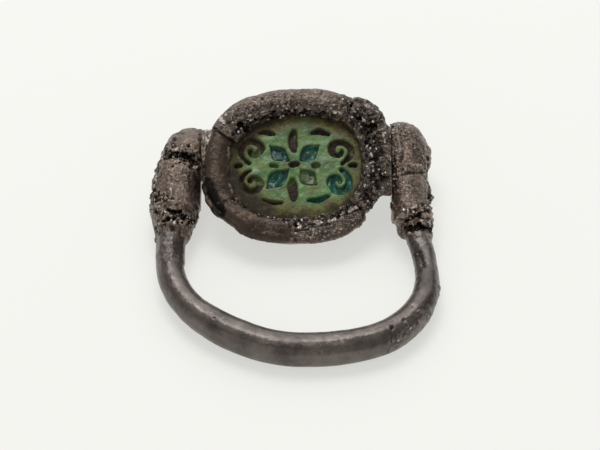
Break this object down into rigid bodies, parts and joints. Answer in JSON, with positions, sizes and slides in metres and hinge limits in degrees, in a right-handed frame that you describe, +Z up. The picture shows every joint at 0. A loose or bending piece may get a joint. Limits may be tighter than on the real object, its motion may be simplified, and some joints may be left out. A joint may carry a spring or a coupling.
{
  "type": "scarab swivel finger ring",
  "caption": "Tarnished silver finger ring with wrapped shoulders and an oval glazed stone beetle seal in a rolled setting that turns end over end on a wire.",
  "frame": {"origin": "middle of the ring's box, on the table it lies on", "axes": "+X to the right along the swivel axis, +Y from the hoop's base to the seal, +Z up from the table"},
  "size_m": [0.0258, 0.028, 0.0088],
  "materials": {
    "silver_bar": "tarnished hammered silver, worn smooth",
    "silver_sheath": "tarnished silver with a fine pitted skin",
    "silver_crust": "silver under a rough dark corrosion crust",
    "silver_setting": "tarnished sheet silver, grainy",
    "silver_wire": "drawn silver wire, tarnished",
    "glazed_stone": "green glaze on carved soft stone, pooled teal in the cuts"
  },
  "bodies": {
    "hoop": {"hoop": "silver_bar", "left_knuckle": "silver_crust", "right_knuckle": "silver_crust", "left_upper_wrap": "silver_sheath", "right_upper_wrap": "silver_sheath", "left_lower_wrap": "silver_crust", "right_lower_wrap": "silver_crust", "pivot_wire": "silver_wire"},
    "bezel": {"scarab": "glazed_stone", "bezel_band": "silver_setting", "rim_far": "silver_setting", "rim_right": "silver_crust", "rim_lower_right": "silver_crust", "rim_lower_left": "silver_setting", "rim_left": "silver_setting", "left_collar": "silver_setting", "right_collar": "silver_crust"}
  },
  "joints": [
    {"name": "bezel_swivel", "type": "hinge", "parent": "hoop", "child": "bezel", "pos_m": [0.00033, 0.00911, 0.0037], "axis": [1, 0, 0], "continuous": true}
  ]
}
